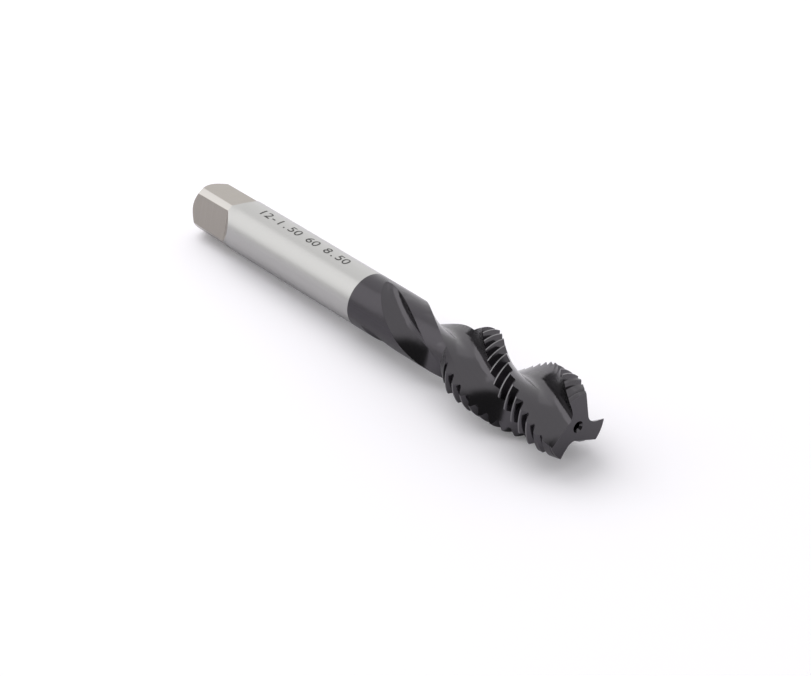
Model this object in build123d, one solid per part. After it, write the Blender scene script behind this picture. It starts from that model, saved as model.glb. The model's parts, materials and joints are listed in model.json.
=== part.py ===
from build123d import *
import os
from math import acos, atan, atan2, cos, degrees, pi, radians, sin, sqrt, tan

# Thread and body, in millimetres
thread_d = 12.0
pitch = 1.5
overall_l = 82.0
shank_d = 8.5
thread_l = 20.6
run_in_angle = 30.0
end_taper = 0.05
lead_turns = 2.5
lead_tip_d = 10.1
thread_turn = 176.0

# Drive square, ends and centre holes
square_af = 6.6
square_l = 8.15
square_angle = 75.0
shoulder_angle = 58.0
corner_relief = 0.1
rear_chamfer = 0.85
centre_d = 1.8
centre_pilot_d = 1.3
centre_pilot_l = 3.0

# Flutes: angles in degrees, seen from the cutting end
flute_n = 3
helix_angle = 37.5
core_d = 4.2
flute_corner_r = 1.7
hook_r = 8.5
heel_tilt = 16.0
flute_l = 28.4
wheel_r = 60.0
tip_angle = 20.6
section_step = 2.0

# Sizes that follow from the ones above
thread_r = thread_d / 2
shank_r = shank_d / 2
tooth_h = 0.6 * pitch
crest_w = pitch / 8
run_in_l = (thread_r - shank_r + end_taper) / tan(radians(run_in_angle))
thread_z = overall_l - thread_l
neck_z = thread_z - run_in_l
lead_z = overall_l - lead_turns * pitch
flute_lead = pi * thread_d / tan(radians(helix_angle))
full_z = overall_l - flute_l
corner_r = shank_r - corner_relief
shoulder_z = square_l + (shank_r - square_af / 2) * tan(radians(shoulder_angle))
clear = 1.0


def wheel_run(height):
    """Length along the axis in which the cutting wheel climbs by this height."""
    return sqrt(2 * wheel_r * height - height ** 2) * cos(radians(helix_angle))


round_end = full_z - wheel_run(shank_r - core_d / 2) - clear

# Body: square blank, shank, run-in cone, thread cylinder and cutting lead, with the seam of the turning on a flat
outline = Polyline(
    (0, 0),
    (corner_r - end_taper - rear_chamfer, 0),
    (corner_r - end_taper, rear_chamfer),
    (corner_r, square_l),
    (shank_r, shoulder_z),
    (shank_r, round_end),
    (shank_r - end_taper, neck_z),
    (thread_r, thread_z),
    (thread_r, lead_z),
    (lead_tip_d / 2, overall_l),
    (0, overall_l),
    close=True,
)
body = Rot(0, 0, square_angle) * revolve(Plane.XZ * make_face(outline), Axis.Z)

# Drive square: four milled flats, each with a sloped shoulder that ends where the round shank begins
flat_outline = Polyline(
    (square_af / 2, -clear),
    (square_af / 2, square_l),
    (shank_r + clear, shoulder_z + clear * tan(radians(shoulder_angle))),
    (shank_r + clear, -clear),
    close=True,
)
flat = extrude(Plane.XZ * make_face(flat_outline), shank_r, both=True)
for k in range(4):
    body -= Rot(0, 0, square_angle + 90 * k) * flat

# Centre holes in both ends, used to hold the blank between points
cone_l = (centre_d - centre_pilot_d) / 2 / tan(radians(30))
pilot_tip = centre_pilot_d / 2 * tan(radians(31))
centre_outline = Polyline(
    (0, -clear),
    (centre_d / 2, -clear),
    (centre_d / 2, 0),
    (centre_pilot_d / 2, cone_l),
    (centre_pilot_d / 2, centre_pilot_l),
    (0, centre_pilot_l + pilot_tip),
    close=True,
)
centre = revolve(Plane.XZ * make_face(centre_outline), Axis.Z)
body -= centre
body -= Pos(0, 0, overall_l) * Rot(180, 0, 0) * centre

# Flute section: hooked cutting face, round bottom and straight heel wall
corner = Vector(sqrt((core_d / 2 + flute_corner_r) ** 2 - flute_corner_r ** 2), flute_corner_r)
tip = Vector(thread_r, 0)
reach = 2 * thread_r
hook_gap = hook_r - flute_corner_r
to_corner = corner - tip
swing = acos((hook_r ** 2 - hook_gap ** 2 - to_corner.length ** 2) / (2 * hook_gap * to_corner.length))
hook_angle = atan2(to_corner.Y, to_corner.X) - swing
hook_dir = Vector(cos(hook_angle), sin(hook_angle))
hook_end = corner - hook_dir * flute_corner_r
hook_centre = corner + hook_dir * hook_gap
hook_start = hook_centre + (tip - hook_centre).rotate(Axis.Z, degrees(clear / hook_r))
heel_dir = Vector(-sin(radians(heel_tilt)), cos(radians(heel_tilt)))
heel = corner + Vector(-heel_dir.Y, heel_dir.X) * flute_corner_r
hook_arc = ThreePointArc(hook_start, tip, hook_end)
bottom_arc = TangentArc(hook_end, heel, tangent=hook_arc % 1)
heel_line = Line(heel, heel + heel_dir * reach)
closing = Polyline(heel_line @ 1, (reach, reach), hook_start)
flute_face = make_face([hook_arc, bottom_arc, heel_line, *closing.edges()])

# Each flute is lofted through turned copies of its section and lifts out of the neck at its rear
exit_l = wheel_run(shank_r - core_d / 2 + clear / 2)
lift_dir = corner.normalized()
front_z = overall_l + clear
exit_n = 6
full_n = int((front_z - full_z) / section_step) + 1
stations = [full_z - exit_l * (1 - k / exit_n) for k in range(exit_n)]
stations += [full_z + (front_z - full_z) * k / full_n for k in range(full_n + 1)]
sections = []
for z in stations:
    along = max(full_z - z, 0) / cos(radians(helix_angle))
    lift = wheel_r - sqrt(wheel_r ** 2 - along ** 2)
    turn = 360 * (z - overall_l) / flute_lead + tip_angle
    sections.append(Pos(0, 0, z) * Rot(0, 0, turn) * Pos(*(lift_dir * lift)) * flute_face)
flute = loft(sections)
for k in range(flute_n):
    body -= Rot(0, 0, 360 * k / flute_n) * flute

# Thread: the right-hand groove crosses each land as a short ring tipped by the thread's lead angle
groove_r = thread_r - tooth_h
over = crest_w / 4 / tan(radians(30))
root_w = pitch - crest_w - 2 * tooth_h * tan(radians(30))
mouth_w = root_w + 2 * (tooth_h + over) * tan(radians(30))
groove_outline = Polyline(
    (groove_r, -root_w / 2),
    (thread_r + over, -mouth_w / 2),
    (thread_r + over, mouth_w / 2),
    (groove_r, root_w / 2),
    close=True,
)
ring_arc = 300 / flute_n
ring = Rot(0, 0, -ring_arc / 2) * revolve(Plane.XZ * make_face(groove_outline), Axis.Z, ring_arc)
lead_angle = degrees(atan(pitch / (2 * pi * (thread_r - tooth_h / 2))))
gap_step = pitch / (1 - pitch / flute_lead)
along_heel = heel.dot(heel_dir)
heel_reach = sqrt(along_heel ** 2 + thread_r ** 2 - heel.length ** 2) - along_heel
heel_angle = degrees(acos((heel + heel_dir * heel_reach).X / thread_r))
land_arc = 360 / flute_n - heel_angle
gaps = []
for k in range(flute_n):
    land_angle = tip_angle - land_arc / 2 + 360 * k / flute_n
    z = overall_l + gap_step * ((land_angle - thread_turn) / 360 % 1)
    while z > neck_z:
        turn = land_angle + 360 * (z - overall_l) / flute_lead
        gaps.append(Pos(0, 0, z) * Rot(0, 0, turn) * Rot(lead_angle, 0, 0) * ring)
        z -= gap_step
body -= gaps

# Rest: the tap lies on its shank and one land, so the cutting end is a little higher
rest_z = overall_l - (tip_angle - 180) % (360 / flute_n) / 360 * flute_lead
tilt = atan((thread_r - shank_r) / (rest_z - shoulder_z))
lying = Plane(origin=(0, 0, 0), x_dir=(-sin(tilt), 0, cos(tilt)), z_dir=(cos(tilt), 0, sin(tilt)))
tap = lying.location * body
box = tap.bounding_box()
tap = Pos(-box.center().X, -box.center().Y, -box.min.Z) * tap

os.makedirs("parts", exist_ok=True)
export_step(tap, "parts/tap_body.step")
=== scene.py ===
# %% [markdown]
# # A thread tap lying on a white table
# A thread tap cuts the thread inside a drilled hole. This one has a bright ground shank with
# a square end for the wrench, and a dark coated half whose spiral flutes carry the chips out.
# Its whole form was drawn in CAD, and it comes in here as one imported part, in metres, lying
# as it comes to rest. Blender adds what a drawing lacks: the camera, the studio light, the
# finishes of the steel and the marking on the shank.

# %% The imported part
import json
import math

import bmesh
import bpy
from mathutils import Matrix, Vector


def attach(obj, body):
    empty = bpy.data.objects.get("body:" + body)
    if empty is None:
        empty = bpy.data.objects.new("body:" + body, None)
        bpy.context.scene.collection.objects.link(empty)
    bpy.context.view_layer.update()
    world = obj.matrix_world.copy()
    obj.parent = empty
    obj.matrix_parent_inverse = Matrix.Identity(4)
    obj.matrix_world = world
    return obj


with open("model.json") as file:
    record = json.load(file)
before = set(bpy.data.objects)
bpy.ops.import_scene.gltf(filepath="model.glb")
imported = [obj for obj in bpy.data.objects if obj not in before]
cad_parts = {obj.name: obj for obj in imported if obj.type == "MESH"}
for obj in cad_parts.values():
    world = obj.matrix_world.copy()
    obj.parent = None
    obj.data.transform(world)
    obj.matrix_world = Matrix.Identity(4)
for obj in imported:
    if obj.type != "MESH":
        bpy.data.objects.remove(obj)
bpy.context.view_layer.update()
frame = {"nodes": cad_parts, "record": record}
mm = 0.001

# %% [markdown]
# ## The tap's own axis
# The tap rests on its shank and on one land of the thread, so it isn't quite level. Every
# measure along it, such as where the coating begins or where the marking stands, is taken
# from the drive end along its own axis. The numbers could be typed in again from the
# drawing, but the record already holds the rear face and the way it looks, so they are read
# from there and can't drift apart.

# %% Rear face and axis
mounts = {mount["name"]: mount for mount in frame["record"]["mounts"]}
rear = Vector(mounts["rear_face"]["pos_m"])
axis = -Vector(mounts["rear_face"]["axis"]).normalized()
across = Vector((0, -1, 0))
top = across.cross(axis).normalized()
tilt = math.atan2(axis.z, axis.x)
shank_r = mounts["shank"]["dims"]["r_mm"] * mm
print("axis rises", round(math.degrees(tilt), 2), "degrees; top", [round(v, 4) for v in top])

# %% [markdown]
# ## Camera
# The photograph looks down on the tap from its cutting end. A camera can be set by eye, but
# then the proportions are never quite right. Here its direction, distance and lens come from
# edges measured in the picture: both sides of the shank and thread, the edge of the coating,
# the three front teeth and the corners of the square. The long lens keeps the far end large.

# %% Camera from the measured view
picture_w = 811
focal_px = 2820.1
look_down = math.radians(34.636)
look_from = math.radians(48.707)
rear_in_view = Vector((-30.458, 20.886, -437.926)) * mm

camera_turn = Matrix.Rotation(look_from, 3, "Z") @ Matrix.Rotation(math.pi / 2 - look_down, 3, "X")
lens = bpy.data.cameras.new("camera")
lens.sensor_width = 36
lens.lens = focal_px / picture_w * lens.sensor_width
lens.clip_start, lens.clip_end = 0.01, 20
camera = bpy.data.objects.new("camera", lens)
camera.rotation_euler = camera_turn.to_euler()
camera.location = rear - camera_turn @ rear_in_view
bpy.context.scene.collection.objects.link(camera)
bpy.context.scene.camera = camera
print("camera at", [round(v, 3) for v in camera.location], "m, lens", round(lens.lens, 1), "mm")

# %% [markdown]
# ## Building materials from small parts
# A material is a chain of nodes, and most links in it are plain arithmetic: how far along
# the tap is this point, is it inside the coating, how strong is the scratch here. A few short
# helpers keep those chains readable. One puts a number or another node's result into a
# socket, one does a sum, one splits a place into its three coordinates, and one turns a
# measure into a mask that runs from 0 to 1.

# %% Helpers for sums and masks
def put(tree, socket, value):
    if isinstance(value, bpy.types.NodeSocket):
        tree.links.new(value, socket)
    else:
        socket.default_value = value


def maths(tree, operation, *values):
    node = tree.nodes.new("ShaderNodeMath")
    node.operation = operation
    for socket, value in zip(node.inputs, values):
        put(tree, socket, value)
    return node.outputs[0]


def split(tree, vector):
    node = tree.nodes.new("ShaderNodeSeparateXYZ")
    tree.links.new(vector, node.inputs[0])
    return tuple(node.outputs)


def mask(tree, value, start, end):
    """Smooth step that is 0 at start and 1 at end, whichever of the two is larger."""
    node = tree.nodes.new("ShaderNodeMapRange")
    node.interpolation_type = "SMOOTHSTEP"
    put(tree, node.inputs["Value"], value)
    node.inputs["From Min"].default_value = start
    node.inputs["From Max"].default_value = end
    return node.outputs["Result"]


# %% [markdown]
# ## Mixing by a mask
# Wherever two finishes meet, a mask says how much of each is there. One helper mixes two
# numbers or two colours by such a mask and picks the right sockets for them, which is less
# to read than a Mix node written out each time. The other starts a material and hands back
# its node tree and its main shader.

# %% Helpers for mixes and materials
def between(tree, share, first, second):
    """Mix of two numbers, or of two colours, which are tuples or the results of other colour mixes."""
    node = tree.nodes.new("ShaderNodeMix")
    colours = isinstance(second, tuple) or getattr(second, "type", "") == "RGBA"
    node.data_type = "RGBA" if colours else "FLOAT"
    # A Mix node has its own sockets for colours and for numbers, told apart by their places
    first_in, second_in, out = (6, 7, 2) if colours else (2, 3, 0)
    put(tree, node.inputs[0], share)
    put(tree, node.inputs[first_in], first)
    put(tree, node.inputs[second_in], second)
    return node.outputs[out]


def fresh_material(name):
    material = bpy.data.materials.new(name)
    material.use_nodes = True
    return material, material.node_tree, material.node_tree.nodes["Principled BSDF"]


# %% [markdown]
# ## Table
# The photograph has no horizon, only a white ground that takes a soft grey shadow. A studio
# sheet that curves upwards could be modelled, but a flat one that reaches far past the
# picture looks the same and is a single face.

# %% Table sheet
table_half = 3

table_mesh = bpy.data.meshes.new("table")
sheet = bmesh.new()
bmesh.ops.create_grid(sheet, x_segments=1, y_segments=1, size=table_half)
sheet.to_mesh(table_mesh)
sheet.free()
table = bpy.data.objects.new("table", table_mesh)
bpy.context.scene.collection.objects.link(table)
print("table", [round(v, 2) for v in table.dimensions], "m")

# %% [markdown]
# ## A white ground that keeps its shadow
# A white ground could be had by more light, but that would bleach the steel as well. Instead
# the table is pale and matt, a trace bluish as the shadow in the photograph is, and where
# the camera or a reflection looks at it a little light of its own lifts it to white. What
# the lamps give it still counts for most, so the shadow stays in it. Far out the lamps give
# it less, so there its own light grows. In the photograph the near side of the shank mirrors
# a duller ground than the far side does, so in mirrors the table's own light counts in full
# only on the half of the sheet that lies behind the tap.

# %% Table finish
def seen_directly(tree, in_mirrors=1.0):
    path = tree.nodes.new("ShaderNodeLightPath")
    mirrored = maths(tree, "MAXIMUM", path.outputs["Is Glossy Ray"], path.outputs["Is Transmission Ray"])
    mirrored = maths(tree, "MULTIPLY", mirrored, in_mirrors)
    return maths(tree, "MAXIMUM", path.outputs["Is Camera Ray"], mirrored)


near_glow, far_glow = 0.14, 0.4
near_radius, far_radius = 0.12, 1.1
front_in_mirrors, behind_in_mirrors = 0.1, 1.0
behind_tap = 0.014

table_finish, tree, shader = fresh_material("table_finish")
shader.inputs["Base Color"].default_value = (0.87, 0.853, 0.892, 1)
shader.inputs["Roughness"].default_value = 0.9
shader.inputs["Specular IOR Level"].default_value = 0.2
shader.inputs["Emission Color"].default_value = (1, 1, 1, 1)
place = tree.nodes.new("ShaderNodeTexCoord").outputs["Object"]
reach = tree.nodes.new("ShaderNodeVectorMath")
reach.operation = "LENGTH"
tree.links.new(place, reach.inputs[0])
far_out = mask(tree, reach.outputs["Value"], near_radius, far_radius)
behind = mask(tree, split(tree, place)[1], 0, behind_tap)
in_mirrors = between(tree, behind, front_in_mirrors, behind_in_mirrors)
own_light = maths(tree, "MULTIPLY", seen_directly(tree, in_mirrors),
                  between(tree, far_out, near_glow, far_glow))
put(tree, shader.inputs["Emission Strength"], own_light)
table_mesh.materials.append(table_finish)
print("table's own light", near_glow, "by the tap and", far_glow, "far out")

# %% [markdown]
# ## White room with a dark side
# Steel shows what stands round it. The black patches in the flutes are the unlit half of the
# studio, on the side where the camera stands. Black card could be built as a mesh, but the
# room is so plain that direction alone tells how bright it is: a line of sight that runs
# towards the dark side finds a tenth of the light. The camera itself never sees that side,
# so the picture's background stays white all round. As light on the table the walls count
# for less than they look, so that walls and lamps together bring it just to white.

# %% White room
walls_on_table = 0.85
dark_walls = 0.1
towards_dark = Vector((1, -1, -0.25)).normalized()
lit_below, dark_above = 0.18, 0.38

room = bpy.data.worlds.new("white_room")
bpy.context.scene.world = room
room.use_nodes = True
tree = room.node_tree
room_light = tree.nodes["Background"]
room_light.inputs["Color"].default_value = (1, 1, 1, 1)

sight = tree.nodes.new("ShaderNodeTexCoord").outputs["Generated"]
facing = tree.nodes.new("ShaderNodeVectorMath")
facing.operation = "DOT_PRODUCT"
facing.inputs[1].default_value = towards_dark
tree.links.new(sight, facing.inputs[0])
to_camera = tree.nodes.new("ShaderNodeLightPath").outputs["Is Camera Ray"]
shade = mask(tree, facing.outputs["Value"], lit_below, dark_above)
shade = maths(tree, "MULTIPLY", shade, maths(tree, "SUBTRACT", 1.0, to_camera))
walls = between(tree, seen_directly(tree), walls_on_table, 1.0)
strength = maths(tree, "MULTIPLY", walls, between(tree, shade, 1.0, dark_walls))
put(tree, room_light.inputs["Strength"], strength)
print("white room, dark towards", [round(v, 2) for v in towards_dark])

# %% [markdown]
# ## Softboxes
# The pale bands on the steel come from two lit panels, one to the camera's left and one
# beyond the tap, which stand where those bands' mirror lines lead. The main lamp hangs high
# over the drive end and throws the short soft shadow forwards. It is kept out of the
# reflections, because the flutes would show it as a hard bright stripe that the photograph
# doesn't have.

# %% Softboxes
def softbox(name, place, width, depth, power):
    lamp = bpy.data.lights.new(name, "AREA")
    lamp.shape = "RECTANGLE"
    lamp.size, lamp.size_y, lamp.energy = width, depth, power
    box = bpy.data.objects.new(name, lamp)
    box.location = place
    # A lamp shines along its own -Z, so its Z points away from the tap
    box.rotation_euler = Vector(place).to_track_quat("Z", "Y").to_euler()
    bpy.context.scene.collection.objects.link(box)
    print(name, "radiance", round(power / (math.pi * width * depth), 2))
    return box


main_lamp = softbox("softbox_main", (-0.55, 0.07, 0.77), 0.84, 0.84, 4.05)
main_lamp.visible_glossy = False
softbox("softbox_side", (-0.6, -0.38, 0.44), 0.6, 0.7, 0.88)
softbox("softbox_back", (-0.76, 0.44, 0.46), 1.2, 1.0, 1.1)

# %% [markdown]
# ## Measures for the steel's finish
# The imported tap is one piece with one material, as the real one is one piece of steel, so
# its finishes are told apart by place. Separate materials would need cuts in the mesh, which
# isn't touched here. A Mapping node turns the object's coordinates until X runs along the
# tap's axis from the drive end. From that come the length along the tap, the radius, and a
# second set that is turned with the drive square.

# %% Coordinates on the tap
steel, tree, shader = fresh_material("tool_steel_finish")
place = tree.nodes.new("ShaderNodeTexCoord").outputs["Object"]

on_axis = tree.nodes.new("ShaderNodeMapping")
on_axis.inputs["Rotation"].default_value = (0, tilt, 0)
on_axis.inputs["Location"].default_value = -(Matrix.Rotation(tilt, 3, "Y") @ rear)
tree.links.new(place, on_axis.inputs["Vector"])
on_tap = on_axis.outputs["Vector"]

along, sideways, upwards = split(tree, on_tap)
squares = maths(tree, "ADD", maths(tree, "POWER", sideways, 2.0), maths(tree, "POWER", upwards, 2.0))
radius = maths(tree, "SQRT", squares)

square_turn = Vector(mounts["drive_flat_side"]["axis"])
square_angle = math.atan2(-square_turn.y, square_turn.dot(top))
with_square = tree.nodes.new("ShaderNodeMapping")
with_square.inputs["Rotation"].default_value = (-square_angle, 0, 0)
tree.links.new(on_tap, with_square.inputs["Vector"])
on_square = with_square.outputs["Vector"]
flat_a, flat_b = split(tree, on_square)[1:]
from_flat = maths(tree, "MAXIMUM", maths(tree, "ABSOLUTE", flat_a), maths(tree, "ABSOLUTE", flat_b))
print("drive square turned by", round(math.degrees(square_angle), 1), "degrees")

# %% [markdown]
# ## Borders of the finishes
# The flats of the square end at a sloped shoulder, the coating begins 38 mm from the drive
# end, and the thread takes up the front quarter. Where the record holds such a size it is
# read from there. The coating's edge was measured in the photograph, and the shoulder's
# slope is the one in the drawing.

# %% Sizes of the borders
coat_start = 38.1 * mm
shoulder_angle = math.radians(58)
square_l = mounts["drive_square"]["dims"]["length_mm"] * mm
flat_half = (Vector(mounts["drive_flat_side"]["pos_m"]) - rear).dot(square_turn)
thread = mounts["cutting_thread"]
thread_l = thread["dims"]["length_mm"] * mm
tap_l = (Vector(thread["pos_m"]) - rear).dot(axis) + thread_l / 2
thread_start = tap_l - thread_l
crest_r = thread["dims"]["r_mm"] * mm
print("flats", round(flat_half / mm, 3), "mm from the axis")
print("coating from", round(coat_start / mm, 1), "mm, thread from", round(thread_start / mm, 1),
      "to", round(tap_l / mm, 1), "mm")

# %% [markdown]
# ## Where each finish lies
# The finishes meet at plain borders, so each has a mask that is worked out from place. The
# coating's edge is as sharp as a dip line. A point is milled where it lies on a flat of the
# square or on the sloped shoulder behind it. The corners of the square carry a painted
# highlight, a lighter colour than the ground shank, and the crests of the thread are lighter;
# the round neck takes the coating a little darker than the flutes do, and the front face has one even
# tone. A finish that belongs to one surface fills a thin
# skin under it: it begins at the first of the skin's two depths and is whole at the second.

# %% Masks
coat_blur, square_blur, thread_blur = 0.05 * mm, 0.1 * mm, 2 * mm
flat_skin = (0.03 * mm, 0.015 * mm)
crest_skin = (0.05 * mm, 0.015 * mm)
face_skin = (0.03 * mm, 0.01 * mm)
neck_skin = (0.1 * mm, 0.06 * mm)


def in_skin(value, surface, skin):
    return mask(tree, value, surface - skin[0], surface - skin[1])


coated = mask(tree, along, coat_start - coat_blur, coat_start + coat_blur)
past_square = maths(tree, "MAXIMUM", maths(tree, "SUBTRACT", along, square_l), 0.0)
climb = maths(tree, "DIVIDE", past_square, math.tan(shoulder_angle))
depth = maths(tree, "SUBTRACT", maths(tree, "ADD", climb, flat_half), from_flat)
milled = mask(tree, maths(tree, "ABSOLUTE", depth), *flat_skin)
# Painted highlight mask: the whole length of the square, where the flats leave only the corner bands
square_highlight = mask(tree, along, square_l + square_blur, square_l - square_blur)
crest = in_skin(radius, crest_r, crest_skin)
front_face = in_skin(along, tap_l, face_skin)
round_neck = in_skin(radius, shank_r, neck_skin)
behind_thread = mask(tree, along, thread_start, thread_start - thread_blur)
neck = maths(tree, "MULTIPLY", round_neck, behind_thread)
print("six masks,", len(tree.nodes), "nodes so far")

# %% [markdown]
# ## Grinding lines
# A grinding wheel leaves fine lines, and their direction tells how the piece was made: round
# the shank, crosswise on the flats, and along the helix in the flutes. All three are one
# noise pattern, fine across the lines and drawn out along them. For the flutes the pattern
# has to follow the twist, so the point is first turned back about the axis by as much as the
# helix has turned.

# %% Grinding lines
flute_lead = 49.1 * mm


def lines(vector, grain, roughness, detail=3.0):
    """Noise with grains of these three sizes in mm, along the vector's three coordinates."""
    stretch = tree.nodes.new("ShaderNodeMapping")
    stretch.inputs["Scale"].default_value = [1 / (size * mm) for size in grain]
    tree.links.new(vector, stretch.inputs["Vector"])
    noise = tree.nodes.new("ShaderNodeTexNoise")
    noise.inputs["Scale"].default_value = 1
    noise.inputs["Detail"].default_value = detail
    noise.inputs["Roughness"].default_value = roughness
    tree.links.new(stretch.outputs["Vector"], noise.inputs["Vector"])
    return noise.outputs["Fac"]


untwist = tree.nodes.new("ShaderNodeVectorRotate")
untwist.rotation_type = "X_AXIS"
tree.links.new(on_tap, untwist.inputs["Vector"])
tree.links.new(maths(tree, "MULTIPLY", along, -2 * math.pi / flute_lead), untwist.inputs["Angle"])

ground_lines = lines(on_tap, (0.09, 2.5, 2.5), 0.6)
milled_lines = lines(on_square, (0.25, 6.0, 6.0), 0.5)
flute_lines = lines(untwist.outputs["Vector"], (12.0, 0.12, 0.12), 0.5)
blotches = lines(on_tap, (6.0, 3.0, 3.0), 0.5, detail=2.0)
print("line patterns", len(tree.nodes), "nodes so far")

# %% [markdown]
# ## Colours of the steel
# The ground shank is a clean pale grey and the milled flats are a warmer, duller grey. The
# coating is a thin dark film. A dark paint under a clear coat would come close, but the film
# is thin enough to keep the metal's own mirror, so it is made as a dark metal: light that
# bounces twice between two teeth comes back nearly black. The ground, milled and coated
# surfaces each have two close tones, which their lines mix.

# %% Steel colours
ground_colour = between(tree, ground_lines, (0.42, 0.416, 0.409, 1), (0.45, 0.446, 0.439, 1))
# Painted highlight: the square's corner bands get a lighter, warmer colour than the ground shank
corner_highlight_colour = between(tree, square_highlight, ground_colour, (0.495, 0.475, 0.455, 1))
milled_colour = between(tree, milled_lines, (0.35, 0.324, 0.297, 1), (0.39, 0.363, 0.334, 1))
bare_colour = between(tree, milled, corner_highlight_colour, milled_colour)
flute_colour = between(tree, flute_lines, (0.075, 0.071, 0.077, 1), (0.088, 0.084, 0.091, 1))
neck_colour = between(tree, ground_lines, (0.062, 0.058, 0.064, 1), (0.072, 0.068, 0.075, 1))
coat_colour = between(tree, neck, flute_colour, neck_colour)
crest_colour = between(tree, crest, coat_colour, (0.165, 0.16, 0.167, 1))
dark_colour = between(tree, front_face, crest_colour, (0.077, 0.073, 0.079, 1))
put(tree, shader.inputs["Base Color"], between(tree, coated, bare_colour, dark_colour))
shader.inputs["Metallic"].default_value = 1
print("colours done,", len(tree.nodes), "nodes so far")

# %% [markdown]
# ## Gloss and fine relief
# The bare steel is satin, and duller on the milled flats. The coating is glossier in the
# polished flutes than on the round neck, where it lies over the grinding lines of the shank.
# The lines could be cut as real grooves, but they are only thousandths of a millimetre deep,
# so a bump in the shading is enough.

# %% Gloss and relief
ground_gloss = between(tree, ground_lines, 0.26, 0.34)
bare_gloss = between(tree, milled, ground_gloss, 0.42)
flute_gloss = between(tree, blotches, 0.14, 0.2)
neck_gloss = between(tree, blotches, 0.2, 0.26)
coat_gloss = between(tree, neck, flute_gloss, neck_gloss)
put(tree, shader.inputs["Roughness"], between(tree, coated, bare_gloss, coat_gloss))

bare_lines = between(tree, milled, ground_lines, milled_lines)
relief = between(tree, coated, bare_lines, flute_lines)
bump = tree.nodes.new("ShaderNodeBump")
bump.inputs["Strength"].default_value = 0.25
bump.inputs["Distance"].default_value = 0.004 * mm
tree.links.new(relief, bump.inputs["Height"])
tree.links.new(bump.outputs["Normal"], shader.inputs["Normal"])

tap = frame["nodes"]["tap_body"]
for slot in tap.material_slots:
    slot.material = steel
print("steel finish on", tap.name, "with", len(tree.nodes), "nodes")

# %% [markdown]
# ## Marking on the shank
# The size is burnt into the shank by a laser, which leaves thin grey strokes and no groove
# worth the name. Here it is plain numbers: thread size and pitch, length and shank diameter.
# A picture of the text would do from afar, but real letters stay sharp at any distance. Each
# sign is a text object made into a mesh, a trace thickened and drawn out sideways by three
# tenths, and all stand in cells of one width, as a marking laser sets them.

# %% Flat numbers
marking_text = "12-1.50 60 8.50"
letter_h = 1.5 * mm
figure_share = 0.73
widening = 1.3
cell_w = 1.38 * mm
thicker = 0.005 * mm
weld = 0.002 * mm

marking = bmesh.new()
for place_no, sign in enumerate(marking_text):
    if sign == " ":
        continue
    words = bpy.data.curves.new("sign", "FONT")
    words.body = sign
    words.align_x = "CENTER"
    words.size = letter_h / figure_share
    words.offset = thicker
    holder = bpy.data.objects.new("sign", words)
    flat_sign = bpy.data.meshes.new_from_object(holder)
    flat_sign.transform(Matrix.Diagonal((widening, 1, 1, 1)))
    flat_sign.transform(Matrix.Translation((place_no * cell_w, -letter_h / 2, 0)))
    marking.from_mesh(flat_sign)
    bpy.data.objects.remove(holder)
    bpy.data.curves.remove(words)
    bpy.data.meshes.remove(flat_sign)
bmesh.ops.remove_doubles(marking, verts=marking.verts, dist=weld)
marking_l = (len(marking_text) - 1) * cell_w
print("flat marking:", len(marking.verts), "points,", round(marking_l / mm, 1), "mm long")

# %% [markdown]
# ## Bending the numbers round the shank
# A flat number laid on a round shank would sink into it at its top and bottom. A Shrinkwrap
# modifier could press it on, but the bend is simple enough to do by hand: the height of a
# point in the letter becomes an angle round the shank. First the faces are cut into narrow
# strips, so that they can follow the curve.

# %% Numbers on the shank
marking_start = 13.5 * mm
marking_angle = math.radians(-3.5)
film = 0.012 * mm
strips = 10
cut_h = 1.1 * letter_h

for k in range(1, strips):
    height = (k / strips - 0.5) * cut_h
    bmesh.ops.bisect_plane(
        marking, geom=marking.verts[:] + marking.edges[:] + marking.faces[:],
        plane_co=(0, height, 0), plane_no=(0, 1, 0), dist=0.0005 * mm)
for point in marking.verts:
    turn = marking_angle - point.co.y / shank_r
    outwards = top * math.cos(turn) + across * math.sin(turn)
    point.co = rear + axis * (marking_start + point.co.x) + outwards * (shank_r + film)
bmesh.ops.recalc_face_normals(marking, faces=marking.faces)
marking_mesh = bpy.data.meshes.new("size_marking")
marking.to_mesh(marking_mesh)
marking.free()
size_marking = bpy.data.objects.new("size_marking", marking_mesh)
bpy.context.scene.collection.objects.link(size_marking)
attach(size_marking, "root")
print("marking has", len(marking_mesh.polygons), "faces")

# %% [markdown]
# ## Finish of the marking
# The laser darkens the steel by heat and dulls it, so the strokes are grey, a little uneven
# and without gloss.

# %% Burnt grey
speckle_size = 0.17 * mm

burnt, tree, shader = fresh_material("laser_grey")
place = tree.nodes.new("ShaderNodeTexCoord").outputs["Object"]
speckle = tree.nodes.new("ShaderNodeTexNoise")
speckle.inputs["Scale"].default_value = 1 / speckle_size
tree.links.new(place, speckle.inputs["Vector"])
grains = speckle.outputs["Fac"]
burnt_colour = between(tree, grains, (0.04, 0.039, 0.038, 1), (0.11, 0.107, 0.104, 1))
put(tree, shader.inputs["Base Color"], burnt_colour)
put(tree, shader.inputs["Roughness"], between(tree, grains, 0.5, 0.65))
shader.inputs["Metallic"].default_value = 0.6
marking_mesh.materials.append(burnt)
print("marking finish", burnt.name, "with", len(tree.nodes), "nodes")

# %% [markdown]
# ## View transform
# The render is shown through Blender's plain Standard view transform.

# %% View transform
bpy.context.scene.view_settings.view_transform = "Standard"
